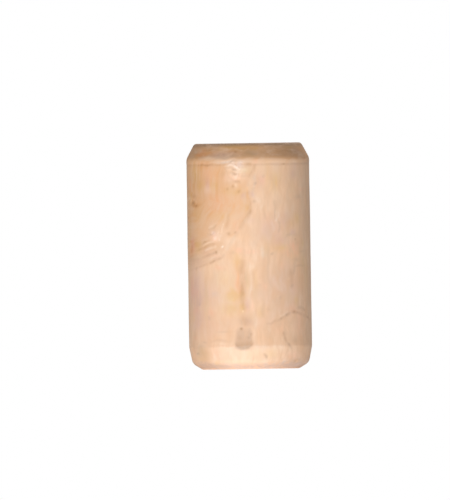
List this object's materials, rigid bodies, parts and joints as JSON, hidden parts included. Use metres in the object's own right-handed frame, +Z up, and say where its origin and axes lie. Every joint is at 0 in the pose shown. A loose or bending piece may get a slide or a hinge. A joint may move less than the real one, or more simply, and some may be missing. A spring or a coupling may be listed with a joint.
{
  "type": "synthetic cork stopper",
  "caption": "Moulded foamed-plastic bottle stopper in the shape of a cork: a straight cylinder with a soft bevel at the head and a gentle taper into a rounded bevel at the foot.",
  "frame": {"origin": "centre of the foot face, on the surface the stopper stands on", "axes": "+Z up the stopper's axis towards the head end, -Y the front with the gate scar and flow lines, +X to the right of the front"},
  "size_m": [0.0226, 0.0226, 0.0414],
  "materials": {
    "foam_skin": "smooth satin moulded skin, peach-tan with faint marbling and flow lines"
  },
  "bodies": {
    "root": {"stopper": "foam_skin"}
  },
  "joints": []
}
